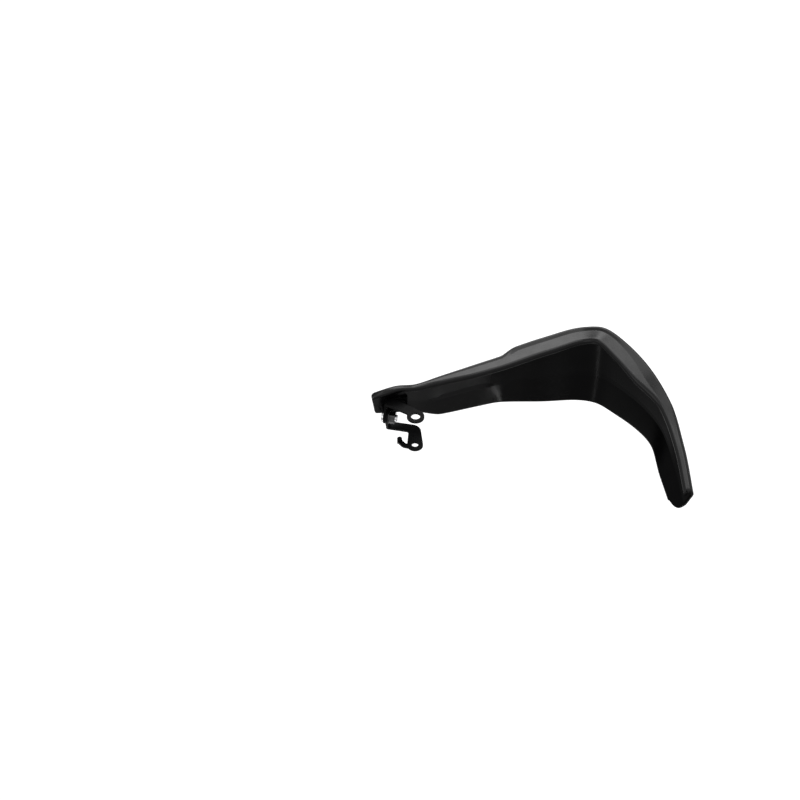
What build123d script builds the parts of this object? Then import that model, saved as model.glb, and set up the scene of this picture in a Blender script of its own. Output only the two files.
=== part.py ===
from build123d import *

# Motorcycle hand guard: a moulded shield on two steel stays that are bolted together.
# The origin is the middle of the mirror stay's eye, on its underside. +Z runs up the mirror stem,
# +X outboard along the handlebar and +Y forward. All sizes are in millimetres and degrees.

from collections import namedtuple
from itertools import accumulate, pairwise
from math import ceil, cos, dist, radians, sin, sqrt, tan
import os

os.makedirs("parts", exist_ok=True)

# Main sizes of the shield: reach from the tongue's screw to the tail's outside, depth from the
# front of the corner to the tail's end, and the wall with the shape of its section
REACH = 249.5
DEPTH = 161.2
WALL = 3.0
CREASE_SHARE = 0.34
CREASE_TUCK = 0.45
SHOULDER_RUN = 0.85
SECTION_SPACING = 6.0
LOFT_COUNT = 4

# Turned-down lip of the flange
LIP_DROP = 1.9
LIP_ROUND = 2.4

# Raised panel along the outside of the shoulder, and the ledge along the arm's crease. Each span is
# a stretch along the shield, measured from the first section, where the height grows or fades. The
# panel slopes down to its foot on the flange, at a share of the flange that grows along the tail.
PANEL_RISE = 2.0
PANEL_SETBACK = 0.7
PANEL_START = (127.0, 145.0)
PANEL_STOP = (310.0, 345.0)
CREST_ROUND = 2.2
FOOT_SHARES = (0.2, 0.97)
FOOT_SPAN = (235.0, 330.0)
PLAIN_SHARE = 0.55
LEDGE_RISE = 2.4
LEDGE_STEP = 0.06
LEDGE_START = (56.0, 76.0)
LEDGE_STOP = (104.0, 126.0)
FADED_SHARE = 0.04

# Key sections of the shield from the tongue to the tail. The first two values place the shoulder in
# plan: the share of the reach outboard of the tongue's screw, and of the depth forward of the seat.
# top and bottom are heights, flange is the clear depth under the top, tuck is how far the bottom turns in.
Section = namedtuple("Section", "out ahead top bottom flange tuck")
SECTIONS = (
    Section(-0.1303, 0.0074, top=5.0, bottom=-13.1, flange=3.0, tuck=0.3),
    Section(-0.0100, 0.0205, top=13.1, bottom=-16.0, flange=3.0, tuck=0.5),
    Section(0.0621, 0.0465, top=9.8, bottom=-19.8, flange=3.2, tuck=2.5),
    Section(0.1423, 0.0825, top=12.3, bottom=-25.2, flange=4.5, tuck=7.5),
    Section(0.2745, 0.1371, top=17.0, bottom=-26.3, flange=9.6, tuck=8.5),
    Section(0.3788, 0.1774, top=20.2, bottom=-33.9, flange=13.2, tuck=3.5),
    Section(0.5311, 0.2326, top=25.2, bottom=-42.0, flange=15.0, tuck=7.0),
    Section(0.6794, 0.2742, top=27.9, bottom=-51.8, flange=14.0, tuck=5.5),
    Section(0.7471, 0.2419, top=30.6, bottom=-52.2, flange=14.6, tuck=7.5),
    Section(0.7764, 0.2066, top=28.9, bottom=-52.1, flange=13.8, tuck=8.8),
    Section(0.8044, 0.1625, top=26.5, bottom=-51.7, flange=16.6, tuck=10.0),
    Section(0.8830, 0.0192, top=15.2, bottom=-48.0, flange=17.0, tuck=14.0),
    Section(0.9515, -0.1768, top=-2.5, bottom=-44.0, flange=7.8, tuck=17.8),
    Section(0.9872, -0.4156, top=-20.0, bottom=-49.0, flange=7.0, tuck=21.9),
    Section(0.9976, -0.6266, top=-35.0, bottom=-57.5, flange=6.5, tuck=18.8),
    Section(1.0012, -0.7258, top=-42.0, bottom=-61.5, flange=6.0, tuck=17.6),
)

# Ends of the shield: corners of the tongue's end in X and Z, and of the tail's tip as distances
# forward of the last section and heights
TONGUE_END = ((-16.0, 17.0), (-37.0, 7.2), (-33.4, -14.8), (-18.0, -25.0))
TONGUE_ROUND = 5.0
TIP_END = ((36.0, -16.0), (10.4, -36.4), (10.4, -59.8), (36.0, -66.0))
TIP_ROUND = 6.0
END_WASTE = 25.0

# Seat of the mirror stay's foot on the tongue, and the screw that holds it there
SEAT_FACE = 25.0
PAD_SPAN = (20.0, 40.0)
PAD_BOTTOM = -13.8
PAD_TOP = 1.4
BOSS_SIZE = 14.0
BOSS_FACE = 32.6
SCREW_PLACE = (-11.5, -5.5)
SCREW_SIZE = 5.0
SCREW_END = 1.5
SCREW_HEAD = 9.5
SCREW_HEAD_HEIGHT = 2.8
SCREW_SOCKET = 3.0
SCREW_SOCKET_DEPTH = 1.6
COLLAR_SIZE = 8.0
COLLAR_FLANGE = 13.0
COLLAR_FLANGE_THICKNESS = 1.0
WELD_NUT_WIDTH = 8.0
WELD_NUT_HEIGHT = 4.0

# Cross bolt that joins the stays, with its washer and nut. Its place is on the upper tab's outer face.
STAY_BOLT_PLACE = (-25.7, 19.3, -14.0)
BOLT_SIZE = 6.0
BOLT_HEAD = 10.0
BOLT_HEAD_HEIGHT = 2.2
BOLT_SOCKET = 4.0
BOLT_SOCKET_DEPTH = 1.2
BOLT_END = 2.0
NUT_WIDTH = 10.0
NUT_HEIGHT = 5.0
WASHER_SIZE = 11.5
WASHER_THICKNESS = 1.0

# Steel plate of both stays, and the tabs where they are bolted together
PLATE = 2.0
BEND_ROUND = 1.8
TAB_TURN = 18.0
TAB_ROUND = 6.0

# Mirror stay
EYE_HOLE = 8.4
EYE_RIM = 15.5
ARM_NEAR_ANGLE = 150.0
ARM_FAR_ANGLE = 53.0
ARM_CROTCH = 2.0
TAB_NEAR = -1.0
FOOT_LEFT = -23.4
FOOT_RIGHT = -17.5
FOOT_DEPTH = 9.0
FOOT_ARM = 5.0
FOOT_ROUND = 5.6

# Lever stay
LEVER_DROP = 26.5
LEVER_STRIP = 8.8
LEVER_STRIP_NEAR = -0.7
LEVER_HOLE = 6.2
LEVER_RIM = 14.2
LEVER_HOLE_PLACE = (-1.1, -5.9)
EAR_WIDTH = 11.0
ELBOW_ROUND = 8.8
CROTCH_ROUND = 2.0
HOOK_PATH = ((-3.0, -8.2), (-10.8, -5.6), (-14.2, 0.4))
HOOK_TURN = 5.0
HOOK_WIDTH = 4.3
HOOK_RISE = 4.7

# Clearances, each on one side
BOLT_HOLE_CLEARANCE = 0.3
THREAD_CLEARANCE = 0.05
COLLAR_CLEARANCE = 0.1
EDGE_BREAK = 0.6


def steady(before, after):
    """Slope between two rates that never overshoots: their harmonic mean, or level at a turn."""
    return 2 * before * after / (before + after) if before * after > 0 else 0.0


def key_slopes(stations):
    """Gaps between the key sections, and the slope of each value where they meet."""
    gaps = [dist(a[:2], b[:2]) for a, b in pairwise(stations)]
    rates = [[(q - p) / gap for p, q in zip(a, b)] for (a, b), gap in zip(pairwise(stations), gaps)]
    slopes = [rates[0]]
    for (before, after), (gap, next_gap) in zip(pairwise(rates), pairwise(gaps)):
        share = next_gap / (gap + next_gap)
        path = [share * p + (1 - share) * q for p, q in zip(before[:2], after[:2])]
        slopes.append(path + [steady(p, q) for p, q in zip(before[2:], after[2:])])
    return gaps, slopes + [rates[-1]]


Station = namedtuple("Station", "x y top bottom flange tuck")
STATIONS = [
    Station(SCREW_PLACE[0] + REACH * key.out, SEAT_FACE + DEPTH * key.ahead, *key[2:])
    for key in SECTIONS
]
GAPS, SLOPES = key_slopes(STATIONS)
MARKS = [0.0] + list(accumulate(GAPS))


def section_at(distance):
    """Blended section at a distance along the shield, with the upright plane that it lies in."""
    index = max(k for k, mark in enumerate(MARKS[:-1]) if mark <= distance)
    gap = GAPS[index]
    t = (distance - MARKS[index]) / gap
    sizes = []
    rates = []
    for p, q, m, n in zip(STATIONS[index], STATIONS[index + 1], SLOPES[index], SLOPES[index + 1]):
        bend = (m + n) * gap - 2 * (q - p)
        sag = 3 * (q - p) - (2 * m + n) * gap
        sizes.append(p + t * (m * gap + t * (sag + t * bend)))
        rates.append(m + t * (2 * sag + 3 * t * bend) / gap)
    along = Vector(rates[0], rates[1], 0)
    outward = Vector(-rates[1], rates[0], 0)
    station = Station(*sizes)
    return station, Plane(origin=(station.x, station.y, 0), x_dir=outward, z_dir=along)


def places_between(first, last):
    """Evenly spaced distances along the shield from one key section to another, with those between."""
    places = [MARKS[first]]
    for start, stop in pairwise(MARKS[first:last + 1]):
        count = ceil((stop - start) / SECTION_SPACING)
        places += [start + (stop - start) * k / count for k in range(1, count)] + [stop]
    return places


def ramp(distance, span):
    """Share from 0 to 1 over a span along the shield, with soft ends."""
    share = min(1.0, max(0.0, (distance - span[0]) / (span[1] - span[0])))
    return share * share * (3 - 2 * share)


def blend(start, stop, share):
    """Value at a share of the way from one value to another."""
    return start + (stop - start) * share


def grown_share(distance, start_span, stop_span):
    """Share of a raised feature that stands at a distance along the shield; it fades to a line."""
    return blend(FADED_SHARE, 1.0, ramp(distance, start_span) - ramp(distance, stop_span))


def wall_line(distance, station, panel):
    """Middle of the wall from the bottom edge up over the shoulder to the flange's lip."""
    height = station.top - station.bottom
    crease = station.bottom + CREASE_SHARE * height
    foot = -CREASE_TUCK * station.tuck
    head = foot * (1 - LEDGE_STEP / (1 - CREASE_SHARE))
    ledge = LEDGE_RISE * grown_share(distance, LEDGE_START, LEDGE_STOP)
    foot_share = blend(*FOOT_SHARES, ramp(distance, FOOT_SPAN))
    panel_foot = blend(PLAIN_SHARE * station.flange, foot_share * (station.flange - WALL / 2), panel)
    lip = -station.flange - WALL / 2
    return [
        Vector(-station.tuck, station.bottom),
        Vector(foot, crease),
        Vector(head + ledge, crease + LEDGE_STEP * height),
        Vector(-PANEL_SETBACK * panel, station.top + PANEL_RISE * panel),
        Vector(-panel_foot - WALL / 2, station.top),
        Vector(lip, station.top),
        Vector(lip, station.top - LIP_DROP),
    ]


def shifted(points, amount):
    """The same line moved sideways by an amount, outward where it is positive."""
    ways = [(b - a).normalized() for a, b in pairwise(points)]
    sides = [Vector(way.Y, -way.X) for way in ways]
    joints = [(p + q) / (1 + p.dot(q)) for p, q in pairwise(sides)]
    return [point + side * amount for point, side in zip(points, [sides[0]] + joints + [sides[-1]])]


def shoulder_round(points):
    """Radius at the shoulder that takes up the named share of the flat beside it."""
    wall = points[2] - points[3]
    flat = points[4] - points[3]
    return SHOULDER_RUN * flat.length * tan(radians(wall.get_angle(flat)) / 2)


def screw_plane(face):
    """Plane across the tongue's screw at a distance forward; it faces forward."""
    return Plane(origin=(SCREW_PLACE[0], face, SCREW_PLACE[1]), x_dir=(1, 0, 0), z_dir=(0, 1, 0))


def bolt_plane(out):
    """Plane across the cross bolt, at a distance outboard of the upper tab's outer face."""
    across = (sin(radians(TAB_TURN)), cos(radians(TAB_TURN)), 0)
    axis = (cos(radians(TAB_TURN)), -sin(radians(TAB_TURN)), 0)
    return Plane(origin=STAY_BOLT_PLACE, x_dir=across, z_dir=axis).offset(out)


def tab_corner(across, out):
    """Place in plan, across the tabs from the cross bolt and outboard of the upper tab's outer face."""
    place = bolt_plane(out).from_local_coords((across, 0, 0))
    return place.X, place.Y


def rim_point(angle):
    """Place in plan on the rim of the eye."""
    return EYE_RIM / 2 * cos(radians(angle)), EYE_RIM / 2 * sin(radians(angle))


with BuildPart() as shield:
    keys_per_loft = ceil(len(GAPS) / LOFT_COUNT)
    for first, last in pairwise([*range(0, len(GAPS), keys_per_loft), len(GAPS)]):
        for place in places_between(first, last):
            station, section_plane = section_at(place)
            panel = grown_share(place, PANEL_START, PANEL_STOP)
            middle = wall_line(place, station, panel)
            outside = shifted(middle, WALL / 2)
            inside = shifted(middle, -WALL / 2)
            inner_round = shoulder_round(inside)
            outer_round = blend(inner_round + WALL, CREST_ROUND, panel)
            lip_end = middle[-1] + (middle[-1] - middle[-2]).normalized() * WALL / 2
            bottom_end = middle[0] + (middle[0] - middle[1]).normalized() * WALL / 2
            with BuildSketch(section_plane) as wall_section:
                with BuildLine() as wall_outline:
                    FilletPolyline(*outside, radius=(0, 0, outer_round, 0, LIP_ROUND))
                    ThreePointArc(outside[-1], lip_end, inside[-1])
                    FilletPolyline(*inside, radius=(0, 0, inner_round, 0, 0))
                    ThreePointArc(inside[0], bottom_end, outside[0])
                make_face()
        loft()
    with BuildSketch(Plane.XZ) as tongue_waste:
        with BuildLine() as tongue_end:
            FilletPolyline(*TONGUE_END, radius=TONGUE_ROUND)
            far = STATIONS[0].x - END_WASTE
            Polyline(TONGUE_END[-1], (far, TONGUE_END[-1][1]), (far, TONGUE_END[0][1]), TONGUE_END[0])
        make_face()
    extrude(amount=-STATIONS[0].y - END_WASTE, mode=Mode.SUBTRACT)
    with BuildSketch(Plane.YZ.offset(STATIONS[-1].x - END_WASTE)) as tip_waste:
        with BuildLine() as tip_end:
            corners = [(STATIONS[-1].y + ahead, height) for ahead, height in TIP_END]
            FilletPolyline(*corners, radius=TIP_ROUND)
            far = STATIONS[-1].y - END_WASTE
            Polyline(corners[-1], (far, corners[-1][1]), (far, corners[0][1]), corners[0])
        make_face()
    extrude(amount=2 * END_WASTE, mode=Mode.SUBTRACT)
    pad_start, pad_stop = [section_at(place)[0] for place in PAD_SPAN]
    with BuildSketch(Plane.XY.offset(PAD_BOTTOM)) as pad:
        with BuildLine() as pad_outline:
            front = [(pad_stop.x, pad_stop.y), (pad_start.x, pad_start.y)]
            Polyline((pad_start.x, SEAT_FACE), (pad_stop.x, SEAT_FACE), *front, close=True)
        make_face()
    extrude(amount=PAD_TOP - PAD_BOTTOM)
    with BuildSketch(screw_plane(SEAT_FACE)) as boss:
        Circle(BOSS_SIZE / 2)
    extrude(amount=BOSS_FACE - SEAT_FACE)
    with BuildSketch(screw_plane(SEAT_FACE)) as collar_hole:
        Circle(COLLAR_SIZE / 2 + COLLAR_CLEARANCE)
    extrude(amount=BOSS_FACE - SEAT_FACE, mode=Mode.SUBTRACT)

with BuildPart() as mirror_stay:
    tab_far = (SEAT_FACE - STAY_BOLT_PLACE[1]) / cos(radians(TAB_TURN))
    plate_height = -STAY_BOLT_PLACE[2]
    arm_crotch = rim_point(ARM_NEAR_ANGLE)
    with BuildSketch() as eye_plate:
        with BuildLine() as arm_outline:
            arm = [arm_crotch, (0, 0), rim_point(ARM_FAR_ANGLE), (FOOT_RIGHT, SEAT_FACE)]
            Polyline(tab_corner(TAB_NEAR, 0), *arm, tab_corner(tab_far, 0), close=True)
        make_face()
        Circle(EYE_RIM / 2)
        fillet(eye_plate.vertices().sort_by_distance((*arm_crotch, 0))[0], ARM_CROTCH)
        Circle(EYE_HOLE / 2, mode=Mode.SUBTRACT)
    extrude(amount=PLATE)
    with BuildSketch(bolt_plane(0)) as upper_tab:
        Circle(TAB_ROUND)
        with Locations(((TAB_NEAR + tab_far) / 2, plate_height + PLATE / 2)):
            Rectangle(tab_far - TAB_NEAR, PLATE)
        make_hull()
    extrude(amount=PLATE)
    bend_edge = bolt_plane(0).from_local_coords(((TAB_NEAR + tab_far) / 2, plate_height + PLATE, 0))
    fillet(mirror_stay.edges().sort_by_distance(bend_edge)[0], BEND_ROUND)
    with BuildSketch(screw_plane(SEAT_FACE - PLATE)) as foot:
        with Locations((FOOT_LEFT - SCREW_PLACE[0], 0)):
            Rectangle(FOOT_RIGHT - FOOT_LEFT, FOOT_ARM, align=(Align.MIN, Align.CENTER))
        Circle(FOOT_ROUND)
        make_hull()
        with Locations((FOOT_LEFT - SCREW_PLACE[0], SCREW_PLACE[1] - PLATE)):
            Rectangle(FOOT_RIGHT - FOOT_LEFT, FOOT_DEPTH, align=(Align.MIN, Align.MIN))
    extrude(amount=PLATE)
    with BuildSketch(screw_plane(SEAT_FACE)) as screw_hole:
        Circle(SCREW_SIZE / 2 + BOLT_HOLE_CLEARANCE)
    extrude(amount=-PLATE, mode=Mode.SUBTRACT)
    with BuildSketch(bolt_plane(0)) as upper_bolt_hole:
        Circle(BOLT_SIZE / 2 + BOLT_HOLE_CLEARANCE)
    extrude(amount=PLATE, mode=Mode.SUBTRACT)

with BuildPart() as lever_stay:
    strip_far = LEVER_STRIP_NEAR + LEVER_STRIP
    ear_middle, ear_end = LEVER_HOLE_PLACE
    ear_right = ear_middle + LEVER_RIM / 2
    near_line = Axis((*tab_corner(LEVER_STRIP_NEAR, 0), 0), bolt_plane(0).z_dir)
    far_line = Axis((*tab_corner(strip_far, 0), 0), bolt_plane(0).z_dir)
    crotch = near_line.position + near_line.direction * (
        (ear_right - EAR_WIDTH - near_line.position.X) / near_line.direction.X)
    elbow = far_line.position + far_line.direction * (
        (ear_right - far_line.position.X) / far_line.direction.X)
    with BuildSketch(Plane.XY.offset(-LEVER_DROP - PLATE)) as lever_plate:
        with BuildLine() as lever_outline:
            ear = [(ear_middle - LEVER_RIM / 2, ear_end), (ear_right, ear_end)]
            start, stop = tab_corner(LEVER_STRIP_NEAR, PLATE), tab_corner(strip_far, PLATE)
            FilletPolyline(start, crotch, *ear, elbow, stop, radius=(CROTCH_ROUND, 0, 0, ELBOW_ROUND))
            Line(stop, start)
        make_face()
        with Locations(LEVER_HOLE_PLACE):
            Circle(LEVER_RIM / 2)
        with BuildLine() as hook_line:
            FilletPolyline(*HOOK_PATH, radius=HOOK_TURN)
        trace(line_width=HOOK_WIDTH)
        with Locations(LEVER_HOLE_PLACE):
            Circle(LEVER_HOLE / 2, mode=Mode.SUBTRACT)
    extrude(amount=PLATE)
    plate_level = -LEVER_DROP - STAY_BOLT_PLACE[2]
    with BuildSketch(bolt_plane(PLATE)) as lower_tab:
        Circle(TAB_ROUND)
        with Locations((LEVER_STRIP_NEAR, plate_level)):
            Rectangle(LEVER_STRIP, PLATE, align=(Align.MIN, Align.MAX))
        make_hull()
        Circle(BOLT_SIZE / 2 + BOLT_HOLE_CLEARANCE, mode=Mode.SUBTRACT)
    extrude(amount=PLATE)
    strip_middle = LEVER_STRIP_NEAR + LEVER_STRIP / 2
    bend_edge = bolt_plane(PLATE).from_local_coords((strip_middle, plate_level - PLATE, 0))
    fillet(lever_stay.edges().sort_by_distance(bend_edge)[0], BEND_ROUND)
    hook_tip = HOOK_PATH[-1]
    with BuildSketch(Plane.XZ.offset(-hook_tip[1])) as hook_end:
        with Locations((hook_tip[0], -LEVER_DROP - PLATE)):
            Rectangle(HOOK_WIDTH, PLATE + HOOK_RISE - HOOK_WIDTH / 2, align=(Align.CENTER, Align.MIN))
        with Locations((hook_tip[0], -LEVER_DROP + HOOK_RISE - HOOK_WIDTH / 2)):
            Circle(HOOK_WIDTH / 2)
    extrude(amount=PLATE)

with BuildPart() as stay_bolt:
    with BuildSketch(bolt_plane(-BOLT_HEAD_HEIGHT)) as bolt_head:
        Circle(BOLT_HEAD / 2)
    extrude(amount=BOLT_HEAD_HEIGHT)
    fillet(stay_bolt.faces().sort_by(Axis.X)[0].edges(), EDGE_BREAK)
    with BuildSketch(bolt_plane(-BOLT_HEAD_HEIGHT)) as bolt_socket:
        RegularPolygon(BOLT_SOCKET / 2, side_count=6, major_radius=False)
    extrude(amount=BOLT_SOCKET_DEPTH, mode=Mode.SUBTRACT)
    with BuildSketch(bolt_plane(0)) as bolt_shank:
        Circle(BOLT_SIZE / 2)
    extrude(amount=2 * PLATE + WASHER_THICKNESS + NUT_HEIGHT + BOLT_END)
    chamfer(stay_bolt.faces().sort_by(Axis.X)[-1].edges(), EDGE_BREAK)

with BuildPart() as stay_washer:
    with BuildSketch(bolt_plane(2 * PLATE)) as washer_ring:
        Circle(WASHER_SIZE / 2)
        Circle(BOLT_SIZE / 2 + BOLT_HOLE_CLEARANCE, mode=Mode.SUBTRACT)
    extrude(amount=WASHER_THICKNESS)

with BuildPart() as stay_nut:
    nut_plane = bolt_plane(2 * PLATE + WASHER_THICKNESS)
    with BuildSketch(nut_plane) as nut_blank:
        Circle(NUT_WIDTH / sqrt(3))
    extrude(amount=NUT_HEIGHT)
    chamfer(stay_nut.edges(), EDGE_BREAK)
    with BuildSketch(nut_plane) as nut_flats:
        RegularPolygon(NUT_WIDTH / 2, side_count=6, major_radius=False)
    extrude(amount=NUT_HEIGHT, mode=Mode.INTERSECT)
    with BuildSketch(nut_plane) as nut_bore:
        Circle(BOLT_SIZE / 2 + THREAD_CLEARANCE)
    extrude(amount=NUT_HEIGHT, mode=Mode.SUBTRACT)

with BuildPart() as tongue_collar:
    with BuildSketch(screw_plane(SEAT_FACE)) as collar_tube:
        Circle(COLLAR_SIZE / 2)
    extrude(amount=BOSS_FACE - SEAT_FACE)
    with BuildSketch(screw_plane(BOSS_FACE)) as collar_flange:
        Circle(COLLAR_FLANGE / 2)
    extrude(amount=COLLAR_FLANGE_THICKNESS)
    with BuildSketch(screw_plane(SEAT_FACE)) as collar_bore:
        Circle(SCREW_SIZE / 2 + BOLT_HOLE_CLEARANCE)
    extrude(amount=BOSS_FACE + COLLAR_FLANGE_THICKNESS - SEAT_FACE, mode=Mode.SUBTRACT)

with BuildPart() as tongue_bolt:
    head_face = BOSS_FACE + COLLAR_FLANGE_THICKNESS
    screw_start = SEAT_FACE - PLATE - WELD_NUT_HEIGHT - SCREW_END
    with BuildSketch(screw_plane(head_face)) as screw_head:
        Circle(SCREW_HEAD / 2)
    extrude(amount=SCREW_HEAD_HEIGHT)
    fillet(tongue_bolt.faces().sort_by(Axis.Y)[-1].edges(), SCREW_HEAD_HEIGHT / 2)
    with BuildSketch(screw_plane(head_face + SCREW_HEAD_HEIGHT)) as screw_socket:
        RegularPolygon(SCREW_SOCKET / 2, side_count=6, major_radius=False)
    extrude(amount=-SCREW_SOCKET_DEPTH, mode=Mode.SUBTRACT)
    with BuildSketch(screw_plane(screw_start)) as screw_shank:
        Circle(SCREW_SIZE / 2)
    extrude(amount=head_face - screw_start)
    chamfer(tongue_bolt.faces().sort_by(Axis.Y)[0].edges(), EDGE_BREAK)

with BuildPart() as weld_nut:
    weld_plane = screw_plane(SEAT_FACE - PLATE)
    with BuildSketch(weld_plane) as weld_blank:
        Circle(WELD_NUT_WIDTH / sqrt(3))
    extrude(amount=-WELD_NUT_HEIGHT)
    chamfer(weld_nut.edges(), EDGE_BREAK)
    with BuildSketch(weld_plane) as weld_flats:
        RegularPolygon(WELD_NUT_WIDTH / 2, side_count=6, major_radius=False)
    extrude(amount=-WELD_NUT_HEIGHT, mode=Mode.INTERSECT)
    with BuildSketch(weld_plane) as weld_bore:
        Circle(SCREW_SIZE / 2 + THREAD_CLEARANCE)
    extrude(amount=-WELD_NUT_HEIGHT, mode=Mode.SUBTRACT)

shield.part.label = "shield"
mirror_stay.part.label = "mirror_stay"
lever_stay.part.label = "lever_stay"
stay_bolt.part.label = "stay_bolt"
stay_washer.part.label = "stay_washer"
stay_nut.part.label = "stay_nut"
tongue_collar.part.label = "tongue_collar"
tongue_bolt.part.label = "tongue_bolt"
weld_nut.part.label = "weld_nut"

export_step(shield.part, "parts/shield.step")
export_step(mirror_stay.part, "parts/mirror_stay.step")
export_step(lever_stay.part, "parts/lever_stay.step")
export_step(stay_bolt.part, "parts/stay_bolt.step")
export_step(stay_washer.part, "parts/stay_washer.step")
export_step(stay_nut.part, "parts/stay_nut.step")
export_step(tongue_collar.part, "parts/tongue_collar.step")
export_step(tongue_bolt.part, "parts/tongue_bolt.step")
export_step(weld_nut.part, "parts/weld_nut.step")
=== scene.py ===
import logging
from dataclasses import dataclass, field
from enum import Enum
from math import cos, radians, sin, tan
from typing import Any

import bpy
import numpy as np
from mathutils import Matrix, Vector


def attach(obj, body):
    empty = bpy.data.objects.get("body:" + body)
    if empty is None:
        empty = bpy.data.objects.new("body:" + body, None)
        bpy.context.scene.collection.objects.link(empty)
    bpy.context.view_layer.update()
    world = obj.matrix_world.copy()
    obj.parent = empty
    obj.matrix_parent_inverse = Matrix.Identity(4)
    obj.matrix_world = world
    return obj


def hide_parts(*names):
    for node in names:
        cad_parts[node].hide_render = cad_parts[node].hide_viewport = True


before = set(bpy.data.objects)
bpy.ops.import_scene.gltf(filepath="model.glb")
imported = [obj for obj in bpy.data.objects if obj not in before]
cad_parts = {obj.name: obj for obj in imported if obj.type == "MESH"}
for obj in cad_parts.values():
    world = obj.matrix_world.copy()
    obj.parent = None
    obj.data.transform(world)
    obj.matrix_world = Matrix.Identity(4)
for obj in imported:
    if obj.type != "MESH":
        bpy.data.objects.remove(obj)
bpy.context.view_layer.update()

MM = 0.001
LOG = logging.getLogger("hand_guard")
Span = tuple[float, float]
Colour = tuple[float, float, float]
Point = tuple[float, float, float]
Surface = tuple[np.ndarray, np.ndarray, np.ndarray, np.ndarray]
WHITE = (1, 1, 1, 1)
# Range that a noise pattern keeps to over most of a surface
PATTERN_ENDS: Span = (0.3, 0.7)
# Points on the wall's round corners and straight runs, from the bottom edge to the lip
ARC_SAMPLES = (6, 6, 15, 6, 10)
FLAT_SAMPLES = (12, 3, 10, 4, 5, 3)
FLAT_ENDS: Span = (0.06, 0.94)
# Share of the shorter run beside each corner that its round may take up
CORNER_ROOM = (0.14, 0.14, 0.98, 0.14, 0.98)
# Points on the wall's round ends, at the lip and at the bottom edge
END_SAMPLES = 5
# Points before and after the lip over which the look changes
LIP_ZONE = 14
# Least depth at which the bottom edge counts as inside the tail's end
EDGE_FLOOR = 0.05
# Angles of the rings that round a cut end, and the share of the wall that they may close
RIM_ANGLES = (90.0, 67.5, 45.0, 22.5)
RIM_LIMIT = 0.45
TINY = 1e-9
# Steps kept back from the end of the fine rings, so that a next ring is always there
LAST_STEP = 1.001
# Half width of the evening bell, in spreads
BELL_REACH = 3
# Points round the pad and the boss, and over one of their rounded edges
PAD_SIDES = 96
PAD_EDGE_SAMPLES = 6
BOSS_SIDES = 72
BOSS_EDGE_SAMPLES = 7


class Slot(Enum):
    """Material slots that the part's record names."""

    MOULDED_PLASTIC = "moulded_plastic"
    BLACK_STEEL = "black_steel"
    BRIGHT_ZINC = "bright_zinc"


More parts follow.
